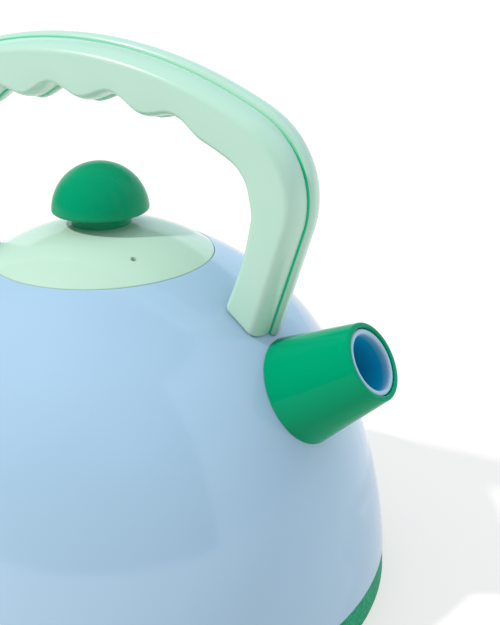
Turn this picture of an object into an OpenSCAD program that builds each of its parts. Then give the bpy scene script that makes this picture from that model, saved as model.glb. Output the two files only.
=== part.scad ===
// Toy kettle for pretend play: a domed body on a base pan, a lift-off lid with
// a mushroom knob, an arched handle of two screwed halves with finger hollows,
// and a short straight spout in a conical sleeve.
// Millimetres, +Z up, spout along +X, origin at the middle of the rest face.

/* [Body] */
// Widest diameter of the body
body_d = 145; // [140:1:152]
// Height of the crown sphere's top above the rest face
dome_h = 94; // [90:0.5:100]
// How much smaller the crown's radius is than the body's
crown_in = 6.5; // [4.5:0.5:10]
// Radius of the bulging side wall
side_r = 136; // [115:1:180]
// Wall thickness of the body
body_wall = 2.4; // [1.8:0.1:3]

/* [Base pan] */
// Height of the visible base ring
base_h = 9.2; // [8.4:0.1:14]
// Step from the body's side in to the base ring
base_inset = 0.3; // [0:0.1:1]
// Rounding of the ring's lower edge
base_round = 1.6; // [0.6:0.1:2.4]
// Wall thickness of the ring
base_wall = 4.4; // [3.4:0.1:6]
// Height of the base screws' heads above the rest face
head_lift = 0.8; // [0.4:0.1:1.4]
// Thickness of the floor plate
plate_t = 2.4; // [1.6:0.1:3.2]
// Height of the locating lip inside the body
lip_h = 5; // [3:0.5:8]
// Thickness of the locating lip
lip_t = 1.8; // [1.2:0.1:2.4]
// Radial clearance of the lip in the body
lip_fit = 0.25; // [0.15:0.05:0.5]

/* [Lid] */
// Diameter of the lid
lid_d = 55; // [52:0.2:60]
// Radial gap round the lid
lid_gap = 0.3; // [0.2:0.05:0.6]
// Radius of the lid's crown
lid_crown_r = 51.3; // [48:0.1:60]
// Thickness of the lid
lid_t = 2; // [1.6:0.1:2.6]
// Height of the lid's rim above its ledge
lid_rim_h = 2.6; // [2:0.1:3.4]
// Width of the rim that rests on the ledge
lid_rim_w = 2; // [1.4:0.1:2.6]
// Rounding of the lid's edge
lid_round = 0.4; // [0.2:0.1:0.9]
// Rounding of the body's edge round the lid
mouth_round = 0.4; // [0.2:0.1:1.4]
// Diameter of the filling mouth under the lid
mouth_d = 48; // [44:0.5:49]
// Thickness of the ledge that carries the lid
ledge_t = 2.4; // [1.8:0.1:3]
// Depth of the lid's skirt below the ledge
skirt_h = 6; // [3:0.5:8]
// Thickness of the skirt
skirt_t = 1.6; // [1.2:0.1:2.2]
// Radial clearance of the skirt in the mouth
skirt_fit = 0.35; // [0.3:0.05:0.6]
// Diameter of the vent hole
vent_d = 1.4; // [1:0.1:2.5]
// Distance of the vent hole from the axis
vent_r = 20.3; // [14:0.1:20.5]
// Bearing of the vent hole, from the spout
vent_a = -33; // [-180:1:180]

/* [Knob] */
// Diameter of the knob
knob_d = 23.5; // [20:0.2:28]
// Rounding of the knob's lower edge
knob_round = 0.7; // [0.4:0.1:1.6]
// How far the sphere's middle lies below the knob's widest ring
knob_sink = 0.7; // [0.3:0.05:1.5]
// Diameter of the neck
neck_d = 14.6; // [12:0.2:17]
// Height of the neck above the lid
neck_h = 2.9; // [2:0.1:4]
// Diameter of the boss under the lid
lid_boss_d = 11; // [9.6:0.2:14]
// Depth of that boss below the neck's seat
lid_boss_h = 4.2; // [3.2:0.1:6]
// Diameter of the washer under the lid
washer_d = 9; // [7:0.2:9.4]
// Thickness of the washer
washer_t = 0.8; // [0.5:0.1:1.2]

/* [Handle] */
// Thickness of the two halves together
handle_t = 13; // [12:0.2:15]
// Width of the legs
bar_w = 11.4; // [10.6:0.2:12.4]
// Mean width of the grip over the hollows
grip_w = 13.8; // [13.2:0.1:14.6]
// Width of the grip past the last hollow
past_w = 14.7; // [14:0.1:15.6]
// How much the grip thins over the hollows, towards the spout
grip_taper = 1.8; // [0:0.1:2.2]
// Distance past the hollows at which the grip starts to thin towards a leg
shoulder_in = 28; // [24:1:38]
// Length over which the grip thins towards a leg
shoulder_len = 26; // [16:1:30]
// Radius of the arch along its outer edge
arch_r = 111.7; // [100:0.5:125]
// Height of the arch's outer edge at its peak
arch_top = 140.3; // [134:0.5:150]
// Place of the peak along the spout's direction
arch_shift = -7.3; // [-9:0.1:9]
// Radius of the corners along the outer edge
corner_r = 22.6; // [19:0.2:26]
// Lean of the legs from upright
leg_lean = 20; // [16:0.5:24]
// Distance of each leg's middle in from the body's side
foot_in = 30.5; // [28:0.1:32]
// Gap between the feet and the dome
foot_gap = 0.15; // [0.1:0.05:0.3]
// Rounding of the long edges
edge_r = 3; // [1.5:0.1:3.6]
// Width of the groove along the seam, in each half
seam_w = 0.5; // [0.3:0.1:0.8]
// Depth of that groove
seam_deep = 0.9; // [0.5:0.1:1.2]
// Wall thickness of each half
handle_wall = 1.8; // [1.4:0.1:2.2]
// Number of finger hollows
hollow_n = 4; // [3:1:4]
// Spacing of the hollows along the arch
hollow_pitch = 16.6; // [15:0.1:17.5]
// Place of the hollows' middle along the spout's direction
hollow_mid = 1.6; // [-4:0.1:4]
// Depth of the wave from bump to hollow
wave_h = 2.7; // [2:0.1:3.4]
// Diameter of the posts that go down into the body
post_d = 7; // [6:0.1:8]
// Length of each post below the dome's surface
post_len = 8; // [7:0.5:9]
// Radial clearance of the posts
post_fit = 0.15; // [0.1:0.05:0.3]
// Wall of the sockets in the body
socket_wall = 1.8; // [1.4:0.1:2]

/* [Spout] */
// Rise of the spout above level
spout_a = 32; // [28:0.5:36]
// Reach of the spout beyond the dome
spout_reach = 19.8; // [17:0.2:28]
// Diameter of the sleeve at the dome
sleeve_base_d = 26.2; // [24:0.2:28]
// Diameter of the sleeve at its mouth
sleeve_mouth_d = 18.6; // [18.2:0.1:20]
// Wall thickness of the sleeve
sleeve_wall = 1.8; // [1.2:0.1:2.4]
// Rounding of the sleeve's mouth
sleeve_round = 0.5; // [0.2:0.1:0.6]
// Outer diameter of the tube
tube_d = 15.9; // [15.2:0.1:16.2]
// Diameter of the bore
tube_bore = 13.1; // [10:0.1:13.4]
// Depth of the tube's rim below the sleeve's mouth
tube_recess = 0.8; // [0.4:0.1:2]
// Diameter of the tube's flange inside the body
flange_d = 23; // [20:0.5:25]
// Thickness of the flange
flange_t = 2.2; // [1.6:0.1:3]
// Radial clearance of the tube in the sleeve
tube_fit = 0.1; // [0.05:0.05:0.2]
// Height of the snap bead on the tube
bead_h = 0.35; // [0.2:0.05:0.5]

/* [Screws] */
// Diameter of the screws
screw_d = 3; // [2.5:0.1:3.2]
// Diameter of the screw heads
head_d = 5.6; // [5:0.1:5.8]
// Height of the screw heads
head_h = 2; // [1.6:0.1:2.2]
// Radial clearance of a screw in its hole
screw_fit = 0.2; // [0.1:0.05:0.3]
// Length of the base screws
base_screw_len = 14; // [11:0.5:18]
// Length of the handle screws
handle_screw_len = 8; // [6:0.5:8.5]
// Length of the foot screws
foot_screw_len = 12; // [9:0.5:13]
// Length of the knob screw
knob_screw_len = 13; // [11:0.5:15]
// Number of base screws
base_screw_n = 4; // [3:1:6]
// Distance of the base screws in from the body's side
base_screw_in = 12.5; // [10.5:0.5:16]
// Diameter of the posts that take the base screws
base_post_d = 8; // [7:0.1:9]
// Thickness of the ribs that brace those posts
rib_t = 1.8; // [1.2:0.1:2.4]

/* [Hidden] */
$fn = 96;

BLUE = "#b4d4ea";
MINT = "#bfe5d3";
GREEN = "#009a6c";
STEEL = "#b9bcc0";

// Oversize of cutting shapes
over = 1;
// Radial clearance of a screw head in its recess
head_fit = 0.4;
// Depth of the handle screws' heads below the surface
head_below = 0.3;
// Thread clearance, so that a screw and its hole don't share space
thread_fit = 0.05;
// Air at the blind end of a screw hole
hole_end = 0.6;

// Dome: a crown sphere that runs on into the side wall's arc. At the join the arc
// lies a hair inside the sphere, so that the two cross in a clean edge
join_in = 0.01;
crown_r = body_d / 2 - crown_in;
crown_z = dome_h - crown_r;
centres = side_r - crown_r + join_in;
join_a = asin((side_r - body_d / 2) / centres);
side_x = body_d / 2 - side_r;
side_z = crown_z - centres * cos(join_a);
function dome_z(r) = crown_z + sqrt(crown_r * crown_r - r * r);
function side_rad(z) = side_x + sqrt(side_r * side_r - pow(z - side_z, 2));

// Base pan
head_seat = head_lift + head_h;
pad_top = head_seat + plate_t;
base_screw_r = body_d / 2 - base_screw_in;
pad_d = head_d + 2 * head_fit + 2 * plate_t;
lip_r = side_rad(base_h + lip_h) - body_wall - lip_fit;

// Lid
mouth_r = mouth_d / 2;
recess_r = lid_d / 2 + lid_gap;
rim_z = dome_z(recess_r);
ledge_z = rim_z - lid_rim_h;
collar_w = recess_r - mouth_r + body_wall;
lid_cz = rim_z - sqrt(pow(lid_crown_r, 2) - pow(lid_d / 2, 2));
skirt_r = mouth_r - skirt_fit;

// Knob
seat_z = lid_cz + sqrt(pow(lid_crown_r, 2) - pow(neck_d / 2, 2));
knob_r = knob_d / 2;
knob_low = seat_z + neck_h;
knob_z = knob_low + knob_round - knob_sink;
// The lower edge's rounding reaches a hair past the sphere, so that the two cross in a clean edge
knob_edge = sqrt(knob_r * knob_r - knob_sink * knob_sink) + join_in;
boss_z = seat_z - lid_boss_h;

// Handle, drawn in its own plane: x along the spout, y up, thickness along z
half_t = handle_t / 2;
foot_x = body_d / 2 - foot_in;
arch_z = arch_top - arch_r;
leg_up = [sin(leg_lean), cos(leg_lean)];
leg_out = [cos(leg_lean), -sin(leg_lean)];
foot = [foot_x, dome_z(foot_x)];
leg_off = leg_out * foot + bar_w / 2;
function arch_c(s) = [s * arch_shift, arch_z];
function corner_from(s) = (leg_off - corner_r) * leg_out - arch_c(s);
function corner_t(s) =
    let (q = corner_from(s), b = q * leg_up, c = q * q - pow(arch_r - corner_r, 2))
    sqrt(b * b - c) - b;
function corner_c(s) = (leg_off - corner_r) * leg_out + corner_t(s) * leg_up;
function corner_a(s) =
    let (v = corner_c(s) - arch_c(s))
    atan2(v[1], v[0]);

// Finger wave along the inner edge, a bump in the middle when the hollows are even
mid_a = 90 - asin((hollow_mid - arch_shift) / arch_r);
pitch_a = hollow_pitch / (arch_r - grip_w) * 180 / PI;
wave_a = hollow_n / 2 * pitch_a;
wave_top = hollow_n % 2 == 0 ? 0 : 180;
// How far the legs run below the dome before they are cut to it
leg_below = 10;
// Steps of the loft: in a leg, a corner, a shoulder and a hollow, and round the outer and inner edge
leg_n = 8;
corner_n = 9;
shoulder_n = 4;
hollow_steps = 10;
edge_n = 3;
inner_n = 4;

// Width of the bar on the side s past the finger wave, a distance d along the outer edge
function shoulder_w(s, d) =
    let (w = past_w - s * grip_taper / 2, k = max(0, min((d - shoulder_in) / shoulder_len, 1)))
    bar_w + (w - bar_w) / 2 * (1 + cos(180 * k));
// Width of the grip at the angle a; past the last hollow it rises to its width there
function wave_w(a) =
    let (u = abs(a - mid_a), c = cos(360 * u / pitch_a + wave_top),
         rise = u > wave_a - pitch_a / 2 ? past_w - grip_w + wave_h / 2 : wave_h)
    grip_w - wave_h / 2 + rise / 2 * (1 + c) - grip_taper / 2 * (mid_a - a) / wave_a;
function arch_w(a) =
    let (s = sign(mid_a - a), u = abs(a - mid_a) - wave_a)
    u > 0 ? shoulder_w(s, u * PI / 180 * arch_r) : wave_w(a);
// Where the arch ends, on the side s
function arch_end(s) = s > 0 ? corner_a(1) : 180 - corner_a(-1);
function wave_end(s) = mid_a - s * wave_a;
function shoulder_d(s) = abs(arch_end(s) - wave_end(s)) * PI / 180 * arch_r;

// Stations of the loft: point on the outer edge, direction inwards, width
function arch_station(a) = [arch_c(1) + arch_r * [cos(a), sin(a)], -[cos(a), sin(a)], arch_w(a)];
function corner_station(s, a) =
    let (p = corner_c(s) + corner_r * [cos(a), sin(a)],
         d = shoulder_d(s) + (corner_a(s) - a) * PI / 180 * corner_r)
    [[s * p[0], p[1]], [-s * cos(a), -sin(a)], shoulder_w(s, d)];
function leg_len(s) = corner_t(s) - foot * leg_up + leg_below;
function corner_d(s) = shoulder_d(s) + (corner_a(s) + leg_lean) * PI / 180 * corner_r;
function leg_station(s, k) =
    let (e = leg_len(s) * k / leg_n, p = corner_c(s) + corner_r * leg_out - e * leg_up)
    [[s * p[0], p[1]], [-s * leg_out[0], -leg_out[1]], shoulder_w(s, corner_d(s) + e)];
function corner_angle(s, k) = -leg_lean + (corner_a(s) + leg_lean) * k / corner_n;
function between(a, b, k, n) = a + (b - a) * k / n;
wave_n = hollow_n * hollow_steps;
stations = concat(
    [for (k = [0 : leg_n - 1]) leg_station(1, leg_n - k)],
    [for (k = [0 : corner_n]) corner_station(1, corner_angle(1, k))],
    [for (k = [1 : shoulder_n]) arch_station(between(arch_end(1), wave_end(1), k, shoulder_n))],
    [for (k = [1 : wave_n]) arch_station(between(wave_end(1), wave_end(-1), k, wave_n))],
    [for (k = [1 : shoulder_n]) arch_station(between(wave_end(-1), arch_end(-1), k, shoulder_n))],
    [for (k = [1 : corner_n]) corner_station(-1, corner_angle(-1, corner_n - k))],
    [for (k = [1 : leg_n]) leg_station(-1, k)]);

// Pockets that hollow out each half, between the screws
pocket_w = min(bar_w, grip_w - (wave_h + grip_taper) / 2) - 2 * handle_wall;
pocket_t = half_t - handle_wall;
pocket_gap = head_d / 2 + head_fit + handle_wall;
pocket_r = arch_r - handle_wall;
gap_a = pocket_gap / pocket_r * 180 / PI;

// Handle screws: one in the grip, one in each corner and one in each leg
screw_in = handle_wall + pocket_w / 2;
grip_screw = arch_c(1) + (arch_r - screw_in) * [cos(mid_a), sin(mid_a)];
leg_screw_up = 12;
function corner_screw(s) =
    let (a = (corner_a(s) - leg_lean) / 2)
    corner_c(s) + (corner_r - screw_in) * [cos(a), sin(a)];
leg_screw = foot + leg_screw_up * leg_up + (bar_w / 2 - screw_in) * leg_out;
head_sink = head_h + head_below;

// Posts and sockets
post_up = 5;
post_low = foot[1] - post_len;
post_high = foot[1] + post_up;
socket_floor = 2;
socket_z = post_low - socket_floor;
socket_r = post_d / 2 + post_fit + socket_wall;

// Spout, along its own axis from the crown sphere's middle
dome_in = crown_r - body_wall;
mouth_s = crown_r + spout_reach;
sleeve_base_s = sqrt(crown_r * crown_r - pow(sleeve_base_d / 2, 2));
tube_top_s = mouth_s - tube_recess;
sleeve_bore_r = tube_d / 2 + tube_fit;
sleeve_land = 8;
bead_s = mouth_s - sleeve_land / 2;
tube_low_s = dome_in - flange_t - pow(flange_d / 2, 2) / (2 * dome_in);
// Flat on the flange, which clears the handle's socket beside it
flat_gap = 0.4;
flat_x = (socket_z - crown_z) * cos(spout_a) - (foot_x + socket_r) * sin(spout_a) - flat_gap;

// Dome outline to the right of the axis, above z0, moved in by inset
module dome_2d(inset, z0) {
    jz = crown_z + (crown_r - inset) * cos(join_a);
    intersection() {
        translate([0, crown_z]) circle(crown_r - inset);
        translate([0, crown_z]) square([body_d, dome_h]);
    }
    intersection() {
        translate([side_x, side_z]) circle(side_r - inset);
        translate([0, z0]) square([body_d, jz - z0]);
    }
}

// Waste at the corner of an upright wall at x = wall and a circle round [0, cz]:
// side 1 rounds a corner that lies outside the wall, side -1 one inside it
module corner_waste_2d(wall, cz, cr, r, side) {
    kx = wall + side * r;
    kz = cz + sqrt(pow(cr - r, 2) - kx * kx);
    reach = (cr + over) / (cr - r);
    difference() {
        polygon([[wall - side * over, kz], [kx, kz], [kx * reach, cz + (kz - cz) * reach],
                 [wall - side * over, cz + cr + over]]);
        translate([kx, kz]) circle(r);
    }
}

module body_2d() {
    difference() {
        union() {
            difference() {
                dome_2d(0, base_h);
                dome_2d(body_wall, base_h - over);
            }
            intersection() {
                translate([mouth_r, ledge_z - ledge_t]) square([collar_w, dome_h]);
                dome_2d(0, base_h);
            }
        }
        translate([0, base_h]) square([mouth_r, dome_h]);
        translate([0, ledge_z]) square([recess_r, dome_h]);
        corner_waste_2d(recess_r, crown_z, crown_r, mouth_round, 1);
    }
}

// Places of the base screws, between the handle's feet
module at_base_screws() {
    for (i = [0 : base_screw_n - 1])
        rotate((i + 0.5) * 360 / base_screw_n)
            translate([base_screw_r, 0, 0]) children();
}

module at_feet() {
    for (s = [1, -1])
        translate([s * foot_x, 0, 0]) children();
}

// Frame along the spout, from the crown sphere's middle
module along_spout() {
    translate([0, 0, crown_z]) rotate([0, 90 - spout_a, 0]) children();
}

module body_shell() {
    color(BLUE) difference() {
        union() {
            rotate_extrude() body_2d();
            intersection() {
                union() {
                    at_base_screws() {
                        translate([0, 0, pad_top]) cylinder(d = base_post_d, h = dome_h);
                        translate([0, -rib_t / 2, base_h + lip_h + over])
                            cube([body_d / 2, rib_t, dome_h]);
                    }
                    at_feet() translate([0, 0, socket_z]) cylinder(r = socket_r, h = dome_h);
                }
                rotate_extrude() dome_2d(body_wall / 2, pad_top);
            }
        }
        at_base_screws()
            translate([0, 0, pad_top - over])
                cylinder(d = screw_d + 2 * thread_fit, h = base_screw_len - plate_t + hole_end + over);
        at_feet() {
            translate([0, 0, post_low]) cylinder(d = post_d + 2 * post_fit, h = dome_h);
            cylinder(d = screw_d + 2 * screw_fit, h = dome_h);
        }
        along_spout() cylinder(d = tube_d + 2 * tube_fit, h = crown_r + over);
    }
}

module base_2d() {
    ring_r = side_rad(0) - base_inset;
    difference() {
        union() {
            intersection() {
                dome_2d(base_inset, 0);
                translate([ring_r - base_wall, 0]) square([body_d, base_h]);
            }
            square([ring_r - base_wall / 2, plate_t]);
            translate([lip_r - lip_t, 0]) square([lip_t, base_h + lip_h]);
        }
        difference() {
            translate([ring_r - base_round, 0]) square([base_round + over, base_round]);
            translate([ring_r - base_round, base_round]) circle(base_round);
        }
    }
}

module base_pan() {
    color(GREEN) difference() {
        union() {
            rotate_extrude() base_2d();
            at_base_screws() cylinder(d = pad_d, h = pad_top);
        }
        at_base_screws() {
            cylinder(d = screw_d + 2 * screw_fit, h = pad_top + over);
            translate([0, 0, -over]) cylinder(d = head_d + 2 * head_fit, h = head_seat + over);
        }
    }
}

// Screw with a pan head and a cross recess: head below z = 0, shank upwards
module pan_screw(len) {
    cross_w = head_d / 6;
    cross_l = head_d * 0.6;
    cross_deep = head_h / 2;
    difference() {
        union() {
            cylinder(d = screw_d, h = len);
            translate([0, 0, -head_h]) cylinder(d = head_d, h = head_h);
        }
        for (a = [0, 90])
            rotate(a)
                translate([-cross_l / 2, -cross_w / 2, -head_h - over])
                    cube([cross_l, cross_w, cross_deep + over]);
    }
}

module base_screws() {
    color(STEEL) at_base_screws() translate([0, 0, head_seat]) pan_screw(base_screw_len);
}

module lid_2d() {
    difference() {
        intersection() {
            translate([0, lid_cz]) circle(lid_crown_r);
            union() {
                difference() {
                    translate([0, ledge_z]) square([lid_d / 2, dome_h]);
                    translate([0, lid_cz]) circle(lid_crown_r - lid_t);
                }
                translate([lid_d / 2 - lid_rim_w, ledge_z]) square([lid_rim_w, dome_h]);
                translate([skirt_r - skirt_t, ledge_z - skirt_h]) square([skirt_t, dome_h]);
                translate([0, boss_z]) square([lid_boss_d / 2, dome_h]);
            }
        }
        translate([0, seat_z]) square([lid_d, dome_h]);
        square([screw_d / 2 + screw_fit, seat_z + over]);
        corner_waste_2d(lid_d / 2, lid_cz, lid_crown_r, lid_round, -1);
    }
}

module lid() {
    color(MINT) difference() {
        rotate_extrude() lid_2d();
        rotate(vent_a) translate([vent_r, 0, ledge_z]) cylinder(d = vent_d, h = dome_h);
    }
}

module knob_2d() {
    intersection() {
        translate([0, knob_z]) circle(knob_r);
        union() {
            translate([0, knob_low + knob_round]) square([knob_edge, knob_d]);
            translate([0, knob_low]) square([knob_edge - knob_round, knob_round]);
            intersection() {
                translate([knob_edge - knob_round, knob_low + knob_round]) circle(knob_round);
                translate([knob_edge - knob_round, knob_low]) square(knob_round);
            }
        }
    }
    translate([0, seat_z]) square([neck_d / 2, neck_h + knob_round]);
}

module lid_knob() {
    hole_h = knob_screw_len - lid_boss_h - washer_t + hole_end;
    color(GREEN) difference() {
        rotate_extrude() knob_2d();
        translate([0, 0, seat_z - over]) cylinder(d = screw_d + 2 * thread_fit, h = hole_h + over);
    }
}

module knob_washer() {
    color(STEEL) translate([0, 0, boss_z - washer_t]) difference() {
        cylinder(d = washer_d, h = washer_t);
        translate([0, 0, -over]) cylinder(d = screw_d + 2 * screw_fit, h = washer_t + 2 * over);
    }
}

module knob_screw() {
    color(STEEL) translate([0, 0, boss_z - washer_t]) pan_screw(knob_screw_len);
}

// Section of one handle half of width w: x inwards from the outer edge, y out from
// the seam; the inner edge is rounded over the whole thickness, for the fingers
function bar_section(w) = concat(
    [[seam_deep, 0], [seam_deep, seam_w], [0, seam_w]],
    [for (k = [0 : edge_n])
        let (a = 180 - 90 * k / edge_n)
        [edge_r + edge_r * cos(a), half_t - edge_r + edge_r * sin(a)]],
    [for (k = [0 : inner_n])
        let (a = 90 - 90 * k / inner_n)
        [w - edge_r + edge_r * cos(a), seam_w + (half_t - seam_w) * sin(a)]],
    [[w - seam_deep, seam_w], [w - seam_deep, 0]]);

// Section of the bar carried along the stations, in the handle's plane
module bar_loft() {
    n = len(bar_section(bar_w));
    last = len(stations) - 1;
    points = [for (st = stations)
        for (q = bar_section(st[2]))
            let (p = st[0] + q[0] * st[1])
            [p[0], p[1], q[1]]];
    sides = [for (i = [0 : last - 1])
        for (j = [0 : n - 1])
            let (a = i * n + j, b = i * n + (j + 1) % n)
            each [[a, b, b + n], [a, b + n, a + n]]];
    // The caps fan out from the face's outer corner, which sees the whole section
    fan = edge_n + 3;
    caps = [for (j = [1 : n - 2])
        let (b = (fan + j) % n, c = (fan + j + 1) % n)
        each [[fan, c, b], [last * n + fan, last * n + b, last * n + c]]];
    polyhedron(points = points, faces = concat(sides, caps));
}

// Hollows in the arch on either side of the grip's screw, and in the legs
module pockets() {
    for (s = [1, -1]) {
        a0 = s > 0 ? arch_end(1) : mid_a + gap_a;
        a1 = s > 0 ? mid_a - gap_a : arch_end(-1);
        translate(arch_c(1))
            rotate(a0)
                rotate_extrude(angle = a1 - a0)
                    translate([pocket_r - pocket_w, -over]) square([pocket_w, pocket_t + over]);
        mirror([1 - s, 0, 0])
            translate(leg_screw + pocket_gap * leg_up)
                rotate([90, 0, 180 - leg_lean])
                    linear_extrude(corner_t(s) - leg_screw * leg_up - pocket_gap)
                        translate([-pocket_w / 2, -over]) square([pocket_w, pocket_t + over]);
    }
}

// One half without its screw holes, its feet cut to the dome
module half_form() {
    difference() {
        bar_loft();
        pockets();
        translate([0, crown_z, 0]) sphere(crown_r + foot_gap);
    }
}

// Places of the screws that join the two halves
module at_handle_screws() {
    translate(grip_screw) children();
    for (s = [1, -1])
        mirror([1 - s, 0, 0]) {
            translate(corner_screw(s)) children();
            translate(leg_screw) children();
        }
}

// Stands the handle's plane upright, with its thickness towards -Y
module upright() {
    rotate([90, 0, 0]) children();
}

module handle_front() {
    pilot = handle_screw_len - half_t + head_sink + hole_end;
    color(MINT) difference() {
        union() {
            upright() half_form();
            at_feet() translate([0, 0, post_low]) cylinder(d = post_d, h = post_high - post_low);
        }
        upright() at_handle_screws()
            translate([0, 0, -over]) cylinder(d = screw_d + 2 * thread_fit, h = pilot + over);
        at_feet()
            translate([0, 0, post_low - over])
                cylinder(d = screw_d + 2 * thread_fit, h = foot_screw_len - socket_floor + hole_end + over);
    }
}

module handle_rear() {
    color(MINT) difference() {
        upright() mirror([0, 0, 1]) difference() {
            half_form();
            at_handle_screws() {
                translate([0, 0, -over]) cylinder(d = screw_d + 2 * screw_fit, h = half_t + 2 * over);
                translate([0, 0, half_t - head_sink])
                    cylinder(d = head_d + 2 * head_fit, h = head_sink + over);
            }
        }
        // Room for the posts, turned so that no edge of the cut lies in the parting plane
        at_feet()
            translate([0, 0, post_low])
                rotate(45) cylinder(d = post_d + 2 * post_fit, h = post_high - post_low + post_fit);
    }
}

module handle_screws() {
    color(STEEL) upright() at_handle_screws()
        translate([0, 0, head_sink - half_t]) pan_screw(handle_screw_len);
}

module foot_screws() {
    color(STEEL) at_feet() translate([0, 0, socket_z]) pan_screw(foot_screw_len);
}

module tube_2d() {
    bore_r = tube_bore / 2;
    tube_r = tube_d / 2;
    rim_r = (tube_r - bore_r) / 2;
    difference() {
        union() {
            translate([bore_r, tube_low_s]) square([tube_r - bore_r, tube_top_s - rim_r - tube_low_s]);
            translate([bore_r + rim_r, tube_top_s - rim_r]) circle(rim_r);
            translate([tube_r - bead_h, bead_s]) circle(2 * bead_h);
        }
        translate([-over, 0]) square([bore_r + over, mouth_s]);
    }
}

module flange_2d() {
    mid_r = (tube_bore + tube_d) / 4;
    intersection() {
        translate([mid_r, tube_low_s]) square([flange_d / 2 - mid_r, crown_r]);
        circle(dome_in - foot_gap);
    }
}

module spout_tube() {
    color(BLUE) along_spout() {
        rotate_extrude() tube_2d();
        difference() {
            rotate_extrude() flange_2d();
            translate([-flange_d - flat_x, -flange_d, 0]) cube([flange_d, 2 * flange_d, crown_r]);
        }
    }
}

module sleeve_2d() {
    base_r = sleeve_base_d / 2;
    top_r = sleeve_mouth_d / 2;
    land_s = mouth_s - sleeve_land;
    low_s = sleeve_base_s - over;
    taper = (base_r - top_r) / (mouth_s - sleeve_base_s);
    difference() {
        polygon([[0, low_s], [base_r + taper * over, low_s], [top_r, mouth_s], [0, mouth_s]]);
        translate([0, low_s - over]) square([sleeve_bore_r, spout_reach + crown_r]);
        polygon([[0, low_s - over], [base_r - sleeve_wall + 2 * taper * over, low_s - over],
                 [sleeve_bore_r, land_s], [0, land_s]]);
        translate([tube_d / 2 - bead_h, bead_s]) circle(2 * bead_h + tube_fit);
        difference() {
            translate([top_r - sleeve_round, mouth_s - sleeve_round]) square(sleeve_round + over);
            translate([top_r - sleeve_round, mouth_s - sleeve_round]) circle(sleeve_round);
        }
    }
}

module spout_sleeve() {
    color(GREEN) difference() {
        along_spout() rotate_extrude() sleeve_2d();
        rotate_extrude() dome_2d(-foot_gap, base_h);
    }
}

body_shell();
base_pan();
base_screws();
lid();
lid_knob();
knob_screw();
knob_washer();
handle_front();
handle_rear();
handle_screws();
foot_screws();
spout_tube();
spout_sleeve();
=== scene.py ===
"""Looks of a toy kettle: smooth moulded pieces, finishes and a studio on its CAD frame."""

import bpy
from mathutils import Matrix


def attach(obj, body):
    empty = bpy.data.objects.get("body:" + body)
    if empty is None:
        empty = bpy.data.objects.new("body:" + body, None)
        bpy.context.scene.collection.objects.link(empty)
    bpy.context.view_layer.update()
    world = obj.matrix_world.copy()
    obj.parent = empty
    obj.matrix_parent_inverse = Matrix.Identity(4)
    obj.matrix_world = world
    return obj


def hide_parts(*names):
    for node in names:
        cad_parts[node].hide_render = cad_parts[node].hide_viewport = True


bl_info = {
    "name": "Toy Kettle",
    "version": (1, 0, 0),
    "blender": (4, 5, 0),
    "location": "3D View > Sidebar > Toy Kettle",
    "description": "Builds the moulded pieces, finishes and studio of a toy kettle on its CAD frame",
    "category": "Object",
}

from math import acos, asin, atan2, copysign, cos, hypot, pi, radians, sin, sqrt, tan, tau

import bmesh
import bpy
from bpy.props import FloatProperty, FloatVectorProperty, IntProperty, PointerProperty
from mathutils import Matrix, Vector

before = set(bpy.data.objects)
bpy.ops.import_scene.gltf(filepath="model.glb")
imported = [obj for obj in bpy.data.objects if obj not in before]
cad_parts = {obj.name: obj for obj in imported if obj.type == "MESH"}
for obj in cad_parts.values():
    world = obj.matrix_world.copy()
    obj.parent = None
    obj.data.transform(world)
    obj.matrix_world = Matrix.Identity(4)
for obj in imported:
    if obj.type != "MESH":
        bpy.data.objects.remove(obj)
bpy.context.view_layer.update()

KETTLE = "kettle"
LID = "lid_assembly"
TURN_STEPS = 192
WELD = 1e-6
SHARP = radians(32)
WHITE = (1.0, 1.0, 1.0)

# Steps of the arcs and holes
RIM_STEPS = 4
EDGE_STEPS = 6
RING_STEPS = 8
TUBE_STEPS = 12
INSIDE_STEPS = 20
SIDE_STEPS = 30
LID_STEPS = 32
VENT_STEPS = 32
CROWN_STEPS = 40
FORM_STEPS = 60
HOLE_STEPS = 96


# Settings

def length(label, text, default):
    """A size in metres."""
    return FloatProperty(name=label, description=text, default=default, min=0.0, unit="LENGTH", precision=4)


def turn(label, text, degrees):
    """An angle."""
    return FloatProperty(name=label, description=text, default=radians(degrees), subtype="ANGLE")


def tone(label, text, default):
    """A colour."""
    return FloatVectorProperty(name=label, description=text, default=default, min=0.0, max=1.0, size=3,
                               subtype="COLOR")


class BodySizes(bpy.types.PropertyGroup):
    """Sizes of the body and its base."""

    width: length("Width", "Widest diameter of the body", 0.145)
    dome_height: length("Dome height", "Height of the crown sphere's top", 0.094)
    crown_radius: length("Crown radius", "Radius of the crown and shoulder", 0.066)
    side_radius: length("Side radius", "Radius of the bulging side", 0.136)
    wall: length("Wall", "Wall thickness of the body", 0.0024)
    base_height: length("Base height", "Height of the visible base ring", 0.0092)
    base_inset: length("Base inset", "Step from the side in to the ring", 0.0003)
    base_round: length("Base rounding", "Rounding of the ring's lower edge", 0.0016)
    plate: length("Plate", "Thickness of the floor plate", 0.0024)
    lip_height: length("Lip height", "Height of the lip inside the body", 0.005)
    lip: length("Lip", "Thickness of the lip", 0.0018)
    lip_fit: length("Lip fit", "Clearance of the lip in the body", 0.00025)


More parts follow.
